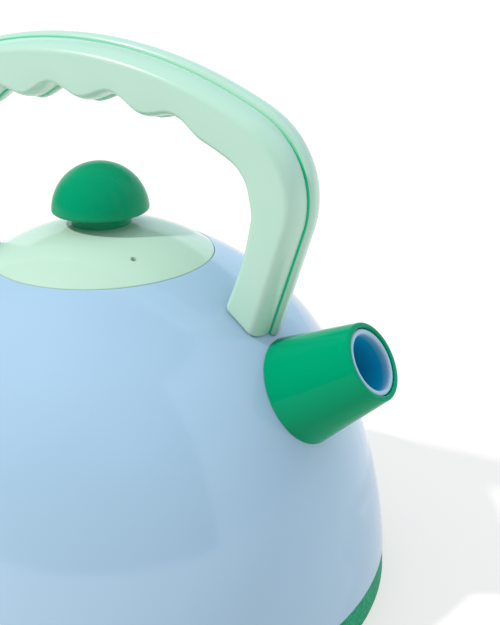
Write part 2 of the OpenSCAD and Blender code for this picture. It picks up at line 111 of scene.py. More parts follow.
class LidSizes(bpy.types.PropertyGroup):
    """Sizes of the lid and its knob."""

    width: length("Width", "Diameter of the lid", 0.055)
    gap: length("Gap", "Gap round the lid", 0.00012)
    crown_radius: length("Crown radius", "Radius of the lid's crown", 0.0513)
    thickness: length("Thickness", "Thickness of the lid", 0.002)
    rim_height: length("Rim height", "Height of the rim above its ledge", 0.0026)
    rim_width: length("Rim width", "Width of the rim on the ledge", 0.002)
    edge_round: length("Edge rounding", "Rounding of the lid's edge", 0.0004)
    mouth_round: length("Mouth rounding", "Rounding of the body's edge round the lid", 0.0002)
    mouth: length("Mouth", "Diameter of the filling mouth", 0.048)
    ledge: length("Ledge", "Thickness of the ledge under the lid", 0.0024)
    skirt_height: length("Skirt height", "Depth of the skirt below the ledge", 0.006)
    skirt: length("Skirt", "Thickness of the skirt", 0.0016)
    skirt_fit: length("Skirt fit", "Clearance of the skirt in the mouth", 0.00035)
    vent: length("Vent", "Diameter of the vent hole", 0.0014)
    vent_distance: length("Vent distance", "Distance of the vent from the axis", 0.0203)
    vent_bearing: turn("Vent bearing", "Bearing of the vent from the spout", -33)
    boss: length("Boss", "Diameter of the boss under the lid", 0.011)
    boss_depth: length("Boss depth", "Depth of the boss below the knob's seat", 0.0042)
    screw_hole: length("Screw hole", "Diameter of the knob screw's hole", 0.0034)
    knob: length("Knob", "Diameter of the knob", 0.0239)
    knob_round: length("Knob rounding", "Rounding of the knob's lower edge", 0.0007)
    knob_sink: length("Knob sink", "Depth of the sphere's middle below the widest ring", 0.0007)
    neck: length("Neck", "Diameter of the knob's neck", 0.0146)
    neck_height: length("Neck height", "Height of the neck above the lid", 0.0031)


class HandleSizes(bpy.types.PropertyGroup):
    """Sizes of the handle."""

    thickness: length("Thickness", "Thickness of both halves together", 0.013)
    leg_width: length("Leg width", "Width of the legs", 0.0114)
    grip_width: length("Grip width", "Width of the grip over the hollows", 0.0138)
    past_width: length("Width past the hollows", "Width of the grip past the last hollow", 0.0147)
    taper: length("Taper", "Thinning of the grip towards the spout's end", 0.0018)
    shoulder_start: length("Shoulder start", "Distance past the hollows where the thinning starts", 0.028)
    shoulder: length("Shoulder", "Length of the thinning towards a leg", 0.026)
    arch_radius: length("Arch radius", "Radius of the arch along its outer edge", 0.1117)
    arch_top: length("Arch top", "Height of the arch's outer edge", 0.1403)
    arch_back: length("Arch back", "Distance of the peak behind the axis", 0.0073)
    corner_radius: length("Corner radius", "Radius of the corners along the outer edge", 0.0226)
    leg_lean: turn("Leg lean", "Lean of the legs from upright", 18.2)
    foot_inset: length("Foot inset", "Distance of a leg's middle in from the body's side", 0.0295)
    foot_flare: length("Foot flare", "Widening of a leg at its lower end", 0.0022)
    foot_sink: length("Foot sink", "Depth of a foot's flat in the dome", 0.0001)
    edge_round: length("Edge rounding", "Rounding of the rear half's long edges", 0.003)
    inner_round: length("Inner rounding", "Rounding of the front half's inner edge", 0.0021)
    front_round: length("Front rounding", "Rounding of the front half's outer edge", 0.003)
    front_step: length("Front step", "Depth of the front's outer edge below the rear's", 0.0013)
    wave_step: length("Wave step", "Height of the front's wave above the rear's", 0.0007)
    lip_round: length("Lip rounding", "Rounding of the rear half's outer edge along the seam", 0.0015)
    wave_lip: length("Wave lip rounding", "Rounding of the rear half's inner edge along the seam", 0.0008)
    foot_round: length("Foot rounding", "Rounding of the edges of the feet", 0.0006)
    seam: length("Seam", "Width of the seam groove", 0.00027)
    seam_depth: length("Seam depth", "Depth of the seam groove", 0.0009)
    # Where the seam groove's painted shade is deep green and where it turns to pale painted light.
    seam_shade_height: length("Deep seam", "Height below which the seam is deep green", 0.121)
    seam_shade_fade: length("Seam fade", "Half the height over which the seam turns", 0.008)
    seam_shade_far: length("Far seam", "Distance behind the axis where the seam is deep green", 0.040)
    seam_light_near: length("Near seam", "Distance towards the spout where the seam is pale", 0.015)
    hollows: IntProperty(name="Hollows", description="Number of finger hollows", default=4, min=2)
    hollow_pitch: length("Hollow pitch", "Spacing of the hollows along the arch", 0.0166)
    hollow_forward: length("Hollow middle", "Distance of the hollows' middle towards the spout", 0.0016)
    wave: length("Wave", "Depth of the wave from bump to hollow", 0.0027)


class SpoutSizes(bpy.types.PropertyGroup):
    """Sizes of the spout."""

    rise: turn("Rise", "Rise of the spout above level", 32)
    reach: length("Reach", "Reach of the spout beyond the dome", 0.0198)
    sleeve_base: length("Sleeve base", "Diameter of the sleeve at the dome", 0.0262)
    sleeve_mouth: length("Sleeve mouth", "Diameter of the sleeve at its mouth", 0.0186)
    sleeve_wall: length("Sleeve wall", "Wall thickness of the sleeve", 0.0018)
    sleeve_round: length("Sleeve rounding", "Rounding of the sleeve's mouth", 0.0005)
    land: length("Land", "Length of the sleeve's grip on the tube", 0.008)
    tube: length("Tube", "Outer diameter of the tube", 0.0159)
    bore: length("Bore", "Diameter of the bore", 0.0131)
    painted_lit_depth: length("Lit depth", "Depth to which the bore is lit", 0.00262)
    recess: length("Recess", "Depth of the tube's rim below the sleeve's mouth", 0.0003)
    fit: length("Fit", "Clearance of the tube in the sleeve", 0.0001)
    flange: length("Flange", "Thickness of the tube's flange", 0.0022)
    flange_width: length("Flange width", "Diameter of the flange", 0.023)
    seat_gap: length("Seat gap", "Gap between the sleeve and the dome", 0.00015)


class ScrewSizes(bpy.types.PropertyGroup):
    """Sizes of the recesses for the screw heads."""

    head: length("Head", "Diameter of a screw's head", 0.0056)
    head_fit: length("Head fit", "Clearance of a head in its recess", 0.0004)
    base_seat: length("Base seat", "Height of the seats of the base screws", 0.0028)
    handle_seat: length("Handle seat", "Depth of the seats of the handle screws", 0.0023)


class Colours(bpy.types.PropertyGroup):
    """Colours of the finishes, the light and the floor."""

    blue: tone("Blue", "Body and spout tube", (0.36, 0.505, 0.63))
    mint: tone("Mint", "Handle", (0.455, 0.665, 0.53))
    lid: tone("Lid", "Lid", (0.475, 0.64, 0.5))
    green: tone("Green", "Knob, sleeve and base", (0.0, 0.275, 0.122))
    # Seam: painted shade in the seam groove down the legs. Pale seam: painted light where light falls into
    # the groove on top of the arch.
    seam: tone("Seam", "Seam down the handle's legs", (0.02, 0.58, 0.29))
    seam_painted_light: tone("Pale seam", "Seam along the top of the handle's arch", (0.37, 0.70, 0.48))
    # Bore: painted shade deep inside the spout's tube, which is the blue plastic.
    bore: tone("Bore", "Inside of the spout tube", (0.004, 0.37, 0.6))
    zinc: tone("Zinc", "Screws and washer", (0.55, 0.56, 0.57))
    air: tone("Air", "Cool cast of the light round the table", (0.77, 0.893, 1.0))
    floor: tone("Floor", "Studio floor", (0.40, 0.35, 0.312))


class KettleSettings(bpy.types.PropertyGroup):
    """All settings of the toy kettle."""

    body: PointerProperty(type=BodySizes)
    lid: PointerProperty(type=LidSizes)
    handle: PointerProperty(type=HandleSizes)
    spout: PointerProperty(type=SpoutSizes)
    screws: PointerProperty(type=ScrewSizes)
    colours: PointerProperty(type=Colours)


# Outlines and the solids they turn into

class Profile:
    """An outline in the XZ plane, drawn from point to point."""

    def __init__(self, x, z):
        self.bm = bmesh.new()
        self.first = self.end = self.bm.verts.new((x, 0.0, z))

    def line(self, *points):
        """Draws straight edges on to points."""
        for x, z in points:
            self.end = bmesh.ops.extrude_vert_indiv(self.bm, verts=[self.end])["verts"][0]
            self.end.co = (x, 0.0, z)

    def arc(self, centre, angle, steps):
        """Draws an arc round a centre; a positive angle runs from up to out."""
        done = bmesh.ops.spin(self.bm, geom=[self.end], cent=(centre[0], 0.0, centre[1]),
                              axis=(0.0, 1.0, 0.0), angle=angle, steps=steps)
        self.end = next(item for item in done["geom_last"] if isinstance(item, bmesh.types.BMVert))

    def close(self):
        """Joins the end to the first point."""
        self.bm.edges.new((self.end, self.first))

    def spin_round(self):
        """Turns the outline into a solid round the Z axis."""
        bmesh.ops.spin(self.bm, geom=self.bm.verts[:] + self.bm.edges[:], cent=(0.0, 0.0, 0.0),
                       axis=(0.0, 0.0, 1.0), angle=tau, steps=TURN_STEPS, use_merge=True)
        bmesh.ops.remove_doubles(self.bm, verts=self.bm.verts, dist=WELD)
        bmesh.ops.recalc_face_normals(self.bm, faces=self.bm.faces)
        return self.bm


class Dome:
    """The arcs of the body's outline."""

    def __init__(self, body):
        centres = body.side_radius - body.crown_radius
        self.join = asin((body.side_radius - body.width / 2) / centres)
        self.crown = (0.0, body.dome_height - body.crown_radius)
        self.side = (body.width / 2 - body.side_radius, self.crown[1] - centres * cos(self.join))
        self.crown_radius = body.crown_radius
        self.side_radius = body.side_radius

    def side_angle(self, z, inset=0.0):
        """Angle from upright at which the side's arc has the height z."""
        return acos((z - self.side[1]) / (self.side_radius - inset))

    def side_x(self, z, inset=0.0):
        """Radius of the side at the height z."""
        return self.side[0] + (self.side_radius - inset) * sin(self.side_angle(z, inset))

    def crown_z(self, x, inset=0.0):
        """Height of the crown at the radius x."""
        return self.crown[1] + sqrt((self.crown_radius - inset) ** 2 - x * x)


class Mouth:
    """Heights and radii round the filling mouth, the lid and the knob."""

    def __init__(self, dome, lid):
        self.recess = lid.width / 2 + lid.gap
        self.rim_z = dome.crown_z(self.recess)
        self.ledge_z = self.rim_z - lid.rim_height
        self.lid_centre = (0.0, self.rim_z - sqrt(lid.crown_radius ** 2 - (lid.width / 2) ** 2))
        self.seat_z = self.lid_centre[1] + sqrt(lid.crown_radius ** 2 - (lid.neck / 2) ** 2)
        self.skirt = lid.mouth / 2 - lid.skirt_fit


# Objects

def new_object(bm, name, *finishes):
    """Makes an object of a bmesh with its finishes, smooth but for its sharp edges."""
    mesh = bpy.data.meshes.new(name)
    for look in finishes:
        mesh.materials.append(look)
    bm.to_mesh(mesh)
    bm.free()
    mesh.shade_smooth()
    mesh.set_sharp_from_angle(angle=SHARP)
    made = bpy.data.objects.new(name, mesh)
    bpy.context.scene.collection.objects.link(made)
    return made


def carve(piece, tool_bm):
    """Cuts a tool's shape out of a piece for good."""
    tool = new_object(tool_bm, piece.name + "_tool")
    cut = piece.modifiers.new("carve", "BOOLEAN")
    cut.operation = "DIFFERENCE"
    cut.solver = "EXACT"
    cut.object = tool
    graph = bpy.context.evaluated_depsgraph_get()
    carved = bpy.data.meshes.new_from_object(piece.evaluated_get(graph))
    piece.modifiers.remove(cut)
    whole, piece.data = piece.data, carved
    carved.name = piece.name
    carved.set_sharp_from_angle(angle=SHARP)
    bpy.data.meshes.remove(whole)
    bpy.data.meshes.remove(tool.data)


def dress(piece, body, node):
    """Gives a piece its place in the frame."""
    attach(piece, body)
    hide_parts(node)


def screw_places(node):
    """Middles of the separate screws of a CAD node."""
    bm = bmesh.new()
    bm.from_mesh(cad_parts[node].data)
    bmesh.ops.remove_doubles(bm, verts=bm.verts, dist=WELD)
    left, middles = set(bm.verts), []
    while left:
        reached, screw = [left.pop()], []
        while reached:
            vert = reached.pop()
            screw.append(vert.co)
            near = {edge.other_vert(vert) for edge in vert.link_edges} & left
            left -= near
            reached.extend(near)
        low, high = ([pick(co[axis] for co in screw) for axis in range(3)] for pick in (min, max))
        middles.append((Vector(low) + Vector(high)) / 2)
    bm.free()
    return middles


def add_rod(bm, radius, low, high, matrix, segments=48):
    """Adds a closed cylinder between two heights of a local frame, its corners off the frame's axes."""
    half_step = Matrix.Rotation(pi / segments, 4, "Z")
    middle = Matrix.Translation((0.0, 0.0, (low + high) / 2))
    bmesh.ops.create_cone(bm, cap_ends=True, segments=segments, radius1=radius, radius2=radius,
                          depth=high - low, matrix=matrix @ middle @ half_step)


def head_recesses(node, screws, seat, face):
    """Round recesses for the heads of a CAD node's screws, sunk into a face that has its own frame."""
    tool = bmesh.new()
    for middle in screw_places(node):
        place = face.inverted() @ middle
        add_rod(tool, screws.head / 2 + screws.head_fit, -seat, seat,
                face @ Matrix.Translation((place.x, place.y, 0.0)))
    return tool


# Finishes

# Noise patterns: repeats in a metre, octaves, roughness
FLOW = (22.0, 2.0, 0.5)
SMEAR = (160.0, 4.0, 0.6)
SKIN = (2200.0, 2.0, 0.5)
FLECK = (1300.0, 3.0, 0.65)
CLOUD = (700.0, 3.0, 0.5)
MOTTLE = (30.0, 2.0, 0.5)

# Moulded plastics: colour, roughness from and to, shine, strength of the skin's grain
PLASTICS = {
    "body_blue": ("blue", 0.07, 0.11, 0.5, 0.02),
    "tube_blue": ("blue", 0.22, 0.30, 0.5, 0.05),
    "lid_mint": ("lid", 0.08, 0.13, 0.4, 0.03),
    "handle_mint": ("mint", 0.24, 0.27, 0.5, 0.02),
    "knob_green": ("green", 0.24, 0.28, 0.14, 0.02),
    "sleeve_green": ("green", 0.05, 0.09, 0.07, 0.02),
}


class Net:
    """Nodes of a material or a world, and the links between them."""

    def __init__(self, tree):
        self.nodes = tree.nodes
        self.links = tree.links

    def put(self, node, socket, value):
        """Links another node's output to a socket, or sets the socket's own value."""
        if isinstance(value, bpy.types.NodeSocket):
            self.links.new(value, node.inputs[socket])
        else:
            node.inputs[socket].default_value = value

    def add(self, kind, output, values, **settings):
        """Adds a node with its settings and the values of its sockets, and gives an output."""
        made = self.nodes.new("ShaderNode" + kind)
        for setting, choice in settings.items():
            setattr(made, setting, choice)
        for socket, value in values.items():
            self.put(made, socket, value)
        return made.outputs[output]

    def spread(self, source, low, high, start_at=0.3, end_at=0.7, **settings):
        """Maps a range of a source, such as a pattern's middle, to values from low to high."""
        values = {"Value": source, "From Min": start_at, "From Max": end_at, "To Min": low, "To Max": high}
        return self.add("MapRange", "Result", values, **settings)

    def soft_step(self, source, edge, width):
        """A mask that rises over a width round an edge, or falls where the width is negative."""
        low, high = (0.0, 1.0) if width > 0 else (1.0, 0.0)
        start_at, end_at = edge - abs(width), edge + abs(width)
        return self.spread(source, low, high, start_at, end_at, interpolation_type="SMOOTHSTEP")

    def blend(self, factor, first, second):
        """Mixes two tones by a pattern."""
        values = {"Factor": factor, "A": (*first, 1.0), "B": (*second, 1.0)}
        return self.add("Mix", "Result", values, data_type="RGBA")

    def choose(self, switch, off, on):
        """One of two values, by a switch."""
        return self.add("Mix", "Result", {"Factor": switch, "A": off, "B": on})

    def join(self, operation, first, second):
        """Joins two masks by a sum, product or maximum."""
        return self.add("Math", "Value", {0: first, 1: second}, operation=operation)

    def along(self, place, way):
        """How far a place lies along a direction."""
        return self.add("VectorMath", "Value", {0: place, 1: way}, operation="DOT_PRODUCT")

    def part(self, place, axis):
        """One coordinate of a place."""
        return self.add("SeparateXYZ", axis, {"Vector": place})


class Surface(Net):
    """A new material with its shader, patterned on Object coordinates."""

    def __init__(self, name):
        self.material = bpy.data.materials.new(name)
        self.material.use_nodes = True
        super().__init__(self.material.node_tree)
        self.place = self.nodes.new("ShaderNodeTexCoord").outputs["Object"]

    def noise(self, pattern):
        """A noise pattern."""
        scale, detail, rough = pattern
        values = {"Vector": self.place, "Scale": scale, "Detail": detail, "Roughness": rough}
        return self.add("TexNoise", "Fac", values)

    def uneven(self, pattern, colour, share):
        """A tone that falls to a share of itself here and there."""
        deep = [channel * share for channel in colour]
        return self.blend(self.spread(self.noise(pattern), 0.0, 1.0), colour, deep)

    def bump(self, pattern, strength, depth):
        """Fine relief from a pattern."""
        values = {"Height": self.noise(pattern), "Strength": strength, "Distance": depth}
        return self.add("Bump", "Normal", values)

    def gloss(self, pattern, low, high, shine):
        """Roughness that varies over a pattern, and the shine."""
        return {"Roughness": self.spread(self.noise(pattern), low, high), "Specular IOR Level": shine}

    def give(self, values):
        """Sets the shader's sockets and gives the material."""
        for socket, value in values.items():
            self.put(self.nodes["Principled BSDF"], socket, value)
        return self.material


def moulded_plastic(name, settings):
    """Moulded plastic: a slightly uneven tone, hazy gloss and a fine skin."""
    colour, low, high, shine, grain = PLASTICS[name]
    made = Surface(name)
    return made.give({
        "Base Color": made.uneven(FLOW, getattr(settings.colours, colour), share=0.95),
        "Normal": made.bump(SKIN, grain, depth=0.00004),
        **made.gloss(SMEAR, low, high, shine),
    })


def painted_bore_shade(name, settings):
    """Inside of the spout's tube: painted light at the rim, painted shade of a deeper blue further in."""
    spout, colours = settings.spout, settings.colours
    out = spout_frame(settings)
    way = out.col[2].xyz
    mouth = settings.body.crown_radius + spout.reach + out.translation.dot(way)
    made = Surface(name)
    # Painted shade: the bore darkens from the rim inwards.
    lit = made.spread(made.along(made.place, way), 0.0, 1.0, mouth - spout.painted_lit_depth, mouth - spout.recess)
    return made.give({
        "Base Color": made.blend(lit, colours.bore, colours.blue),
        **made.gloss(SMEAR, low=0.3, high=0.4, shine=0.3),
    })


def painted_seam_shade_and_light(name, settings):
    """Seam of the handle: pale painted light on top of the arch, deep green painted shade towards its far
    end and down the legs.
    """
    handle, colours = settings.handle, settings.colours
    made = Surface(name)
    # Masks of the painted shade: towards the arch's far end and down the legs; elsewhere painted light.
    far = made.spread(made.part(made.place, "X"), 1.0, 0.0, -handle.seam_shade_far, handle.seam_light_near)
    down = made.soft_step(made.part(made.place, "Z"), handle.seam_shade_height, -handle.seam_shade_fade)
    return made.give({
        "Base Color": made.blend(made.join("MAXIMUM", far, down), colours.seam_painted_light, colours.seam),
        **made.gloss(SMEAR, low=0.5, high=0.6, shine=0.1),
    })


def speckled_base(name, settings):
    """Spark-eroded green of the base: a mottled tone and a pebbly skin."""
    green = settings.colours.green
    shade, gain, lift = 0.72, 1.25, 0.03
    dark = [channel * shade for channel in green]
    light = [min(1.0, channel * gain + lift) for channel in green]
    made = Surface(name)
    flecks = made.spread(made.noise(FLECK), 0.0, 1.0, start_at=0.35, end_at=0.65)
    return made.give({
        "Base Color": made.blend(flecks, dark, light),
        "Normal": made.bump(FLECK, strength=0.5, depth=0.00015),
        **made.gloss(FLECK, low=0.42, high=0.6, shine=0.05),
    })


def zinc_steel(name, settings):
    """Zinc-plated steel with a cloudy grain."""
    made = Surface(name)
    return made.give({
        "Base Color": made.uneven(CLOUD, settings.colours.zinc, share=0.8),
        "Metallic": 1.0,
        **made.gloss(CLOUD, low=0.28, high=0.42, shine=0.5),
    })


def finish(name):
    """The finish of that name, made when it is first asked for."""
    makers = {"bore_blue": painted_bore_shade, "seam_green": painted_seam_shade_and_light, "base_green": speckled_base,
              "screw_zinc": zinc_steel}
    known = bpy.data.materials.get(name)
    return known or makers.get(name, moulded_plastic)(name, bpy.context.scene.toy_kettle)


# Pieces

class KETTLE_OT_body(bpy.types.Operator):
    """Spin the domed body with its filling mouth and cut the spout's hole"""

    bl_idname = "toy_kettle.body"
    bl_label = "Body"

    def execute(self, context):
        settings = context.scene.toy_kettle
        body, lid, spout = settings.body, settings.lid, settings.spout
        dome = Dome(body)
        mouth = Mouth(dome, lid)
        knee_x = mouth.recess + lid.mouth_round
        knee = (knee_x, dome.crown_z(knee_x, lid.mouth_round))
        lean = atan2(knee[0], knee[1] - dome.crown[1])
        collar = mouth.recess + body.wall
        top_inside = asin(collar / (body.crown_radius - body.wall))
        path = Profile(lid.mouth / 2, mouth.ledge_z)
        path.line((mouth.recess, mouth.ledge_z), (mouth.recess, knee[1]))
        path.arc(knee, pi / 2 + lean, EDGE_STEPS)
        path.arc(dome.crown, dome.join - lean, CROWN_STEPS)
        path.arc(dome.side, dome.side_angle(body.base_height) - dome.join, SIDE_STEPS)
        path.line((dome.side_x(body.base_height, body.wall), body.base_height))
        path.arc(dome.side, dome.join - dome.side_angle(body.base_height, body.wall), INSIDE_STEPS)
        path.arc(dome.crown, top_inside - dome.join, INSIDE_STEPS)
        path.line((collar, mouth.ledge_z - lid.ledge), (lid.mouth / 2, mouth.ledge_z - lid.ledge))
        path.close()
        piece = new_object(path.spin_round(), "kettle_body", finish("body_blue"))
        hole = bmesh.new()
        add_rod(hole, spout.tube / 2 + spout.fit, body.crown_radius / 2, body.crown_radius + spout.reach,
                spout_frame(settings), HOLE_STEPS)
        carve(piece, hole)
        dress(piece, KETTLE, "body_shell")
        return {"FINISHED"}


def spout_frame(settings):
    """Frame along the spout: Z outwards from the crown sphere's middle."""
    dome = Dome(settings.body)
    tilt = Matrix.Rotation(pi / 2 - settings.spout.rise, 4, "Y")
    return Matrix.Translation((0.0, 0.0, dome.crown[1])) @ tilt


class KETTLE_OT_base(bpy.types.Operator):
    """Spin the base with its ring, plate and lip and sink the screw recesses"""

    bl_idname = "toy_kettle.base"
    bl_label = "Base"

    def execute(self, context):
        settings = context.scene.toy_kettle
        body, screws = settings.body, settings.screws
        dome = Dome(body)
        edge = dome.side_x(body.base_round, body.base_inset) - body.base_round
        rise = (dome.side_angle(body.base_height, body.base_inset)
                - dome.side_angle(body.base_round, body.base_inset))
        top = body.base_height + body.lip_height
        lip = dome.side_x(top) - body.wall - body.lip_fit
        inner = lip - body.lip
        path = Profile(0.0, 0.0)
        path.line((edge, 0.0))
        path.arc((edge, body.base_round), -pi / 2, RING_STEPS)
        path.arc(dome.side, rise, RING_STEPS)
        path.line((lip, body.base_height), (lip, top), (inner, top), (inner, body.plate), (0.0, body.plate))
        piece = new_object(path.spin_round(), "kettle_base", finish("base_green"))
        carve(piece, head_recesses("base_screws", screws, screws.base_seat, Matrix.Identity(4)))
        dress(piece, KETTLE, "base_pan")
        return {"FINISHED"}


class KETTLE_OT_lid(bpy.types.Operator):
    """Spin the lid with its rim, skirt and boss and drill the vent"""

    bl_idname = "toy_kettle.lid"
    bl_label = "Lid"

    def execute(self, context):
        settings = context.scene.toy_kettle
        lid = settings.lid
        mouth = Mouth(Dome(settings.body), lid)
        centre, crown = mouth.lid_centre, lid.crown_radius
        knee_x = lid.width / 2 - lid.edge_round
        knee_z = centre[1] + sqrt((crown - lid.edge_round) ** 2 - knee_x ** 2)
        lean = atan2(knee_x, knee_z - centre[1])
        under = crown - lid.thickness
        rim, inner = lid.width / 2 - lid.rim_width, mouth.skirt - lid.skirt
        rim_lean, inner_lean = asin(rim / under), asin(inner / under)
        low, foot = mouth.ledge_z - lid.skirt_height, mouth.seat_z - lid.boss_depth
        path = Profile(lid.screw_hole / 2, mouth.seat_z)
        path.line((lid.neck / 2, mouth.seat_z))
        path.arc(centre, lean - asin(lid.neck / 2 / crown), LID_STEPS)
        path.arc((knee_x, knee_z), pi / 2 - lean, EDGE_STEPS)
        path.line((lid.width / 2, mouth.ledge_z), (rim, mouth.ledge_z),
                  (rim, centre[1] + under * cos(rim_lean)))
        path.arc(centre, asin(mouth.skirt / under) - rim_lean, RIM_STEPS)
        path.line((mouth.skirt, low), (inner, low), (inner, centre[1] + under * cos(inner_lean)))
        path.arc(centre, asin(lid.boss / 2 / under) - inner_lean, INSIDE_STEPS)
        path.line((lid.boss / 2, foot), (lid.screw_hole / 2, foot))
        path.close()
        piece = new_object(path.spin_round(), "kettle_lid", finish("lid_mint"))
        vent = bmesh.new()
        bearing = Matrix.Rotation(lid.vent_bearing, 4, "Z")
        add_rod(vent, lid.vent / 2, mouth.ledge_z, mouth.seat_z,
                bearing @ Matrix.Translation((lid.vent_distance, 0.0, 0.0)), VENT_STEPS)
        carve(piece, vent)
        dress(piece, LID, "lid")
        return {"FINISHED"}


class KETTLE_OT_knob(bpy.types.Operator):
    """Spin the mushroom knob on its neck"""

    bl_idname = "toy_kettle.knob"
    bl_label = "Knob"

    def execute(self, context):
        settings = context.scene.toy_kettle
        lid = settings.lid
        seat = Mouth(Dome(settings.body), lid).seat_z
        low = seat + lid.neck_height
        rounded = lid.knob / 2 - lid.knob_round
        rise = asin(lid.knob_sink / rounded)
        ring = (sqrt(rounded ** 2 - lid.knob_sink ** 2), low + lid.knob_round)
        path = Profile(0.0, seat)
        path.line((lid.neck / 2, seat), (lid.neck / 2, low), (ring[0], low))
        path.arc(ring, -pi / 2 - rise, RING_STEPS)
        path.arc((0.0, ring[1] - lid.knob_sink), rise - pi / 2, CROWN_STEPS)
        piece = new_object(path.spin_round(), "kettle_knob", finish("knob_green"))
        dress(piece, LID, "lid_knob")
        return {"FINISHED"}


class Arch:
    """The handle's bar along its outer edge: a leg, a corner, the arch, a corner and a leg."""

    leg_steps = 12
    corner_steps = 28
    arch_steps = 160

    def __init__(self, handle, body, half):
        self.handle = handle
        self.step = handle.wave_step if half < 0 else 0.0
        self.dome = Dome(body)
        self.leg_turn = pi / 2 + handle.leg_lean
        self.out = self.way(self.leg_turn)
        self.up = self.way(handle.leg_lean)
        foot = body.width / 2 - handle.foot_inset
        self.foot = Vector((foot, 0.0, self.dome.crown_z(foot)))
        self.pitch = handle.hollow_pitch / (handle.arch_radius - handle.grip_width)
        self.wave_end = handle.hollows / 2 * self.pitch
        self.middle = asin((handle.arch_back + handle.hollow_forward) / handle.arch_radius)

    @staticmethod
    def way(lean):
        """Direction at an angle from upright, towards the spout."""
        return Vector((sin(lean), 0.0, cos(lean)))

    def centre(self, side):
        """Middle of the arch, with the bar turned so that a side is the spout's."""
        return Vector((-side * self.handle.arch_back, 0.0, self.handle.arch_top - self.handle.arch_radius))

    def corner(self, side):
        """Middle of a corner, with the bar turned so that its side is the spout's."""
        leg = self.out * (self.out.dot(self.foot) + self.handle.leg_width / 2 - self.handle.corner_radius)
        away = leg - self.centre(side)
        half = away.dot(self.up)
        reach = self.handle.arch_radius - self.handle.corner_radius
        return leg + self.up * (sqrt(half * half - away.length_squared + reach * reach) - half)

    def corner_lean(self, side):
        """Angle from upright at which the arch meets the corner on a side."""
        away = self.corner(side) - self.centre(side)
        return atan2(away.x, away.z)

    def past_width(self, side, distance):
        """Width of the bar a distance past the wave."""
        handle = self.handle
        width = handle.past_width - side * handle.taper / 2
        share = min(max((distance - handle.shoulder_start) / handle.shoulder, 0.0), 1.0)
        step = self.step * max(1 - distance / handle.shoulder_start, 0.0)
        return handle.leg_width + (width - handle.leg_width) / 2 * (1 + cos(pi * share)) - step

    def arch_width(self, lean):
        """Width of the bar on the arch, at an angle from upright."""
        handle = self.handle
        away = lean - self.middle
        side = copysign(1, away)
        past = abs(away) - self.wave_end
        if past > 0:
            return self.past_width(side, past * handle.arch_radius)
        crest = cos(tau * away / self.pitch + (0.0 if handle.hollows % 2 == 0 else pi))
        last = past > -self.pitch / 2
        rise = handle.past_width - handle.grip_width + handle.wave / 2 if last else handle.wave
        taper = handle.taper / 2 * away / self.wave_end
        return handle.grip_width - handle.wave / 2 + rise / 2 * (1 + crest) - taper - self.step

    def side_stations(self, side):
        """Place, lean and width along a leg from below its foot up, and round its corner."""
        handle = self.handle
        corner, top = self.corner(side), self.corner_lean(side)
        past = (top - side * self.middle - self.wave_end) * handle.arch_radius
        turned = (self.leg_turn - top) * handle.corner_radius
        below = (corner - self.foot).dot(self.up) + handle.leg_width
        made = []
        for step in range(self.leg_steps):
            down = below * (1 - step / self.leg_steps)
            place = corner + self.out * handle.corner_radius - self.up * down
            flare = handle.foot_flare * (down / below) ** 2
            made.append((place, self.leg_turn, self.past_width(side, past + turned + down) + flare))
        for step in range(self.corner_steps):
            share = step / self.corner_steps
            lean = self.leg_turn + (top - self.leg_turn) * share
            place = corner + self.way(lean) * handle.corner_radius
            made.append((place, lean, self.past_width(side, past + turned * (1 - share))))
        return made

    def stations(self):
        """Place, lean and width along the bar, from the spout's foot to the far one."""
        made = self.side_stations(1)
        near, far = self.corner_lean(1), -self.corner_lean(-1)
        for step in range(self.arch_steps + 1):
            lean = near + (far - near) * step / self.arch_steps
            place = self.centre(1) + self.way(lean) * self.handle.arch_radius
            made.append((place, lean, self.arch_width(lean)))
        for place, lean, width in reversed(self.side_stations(-1)):
            made.append((Vector((-place.x, 0.0, place.z)), -lean, width))
        return made


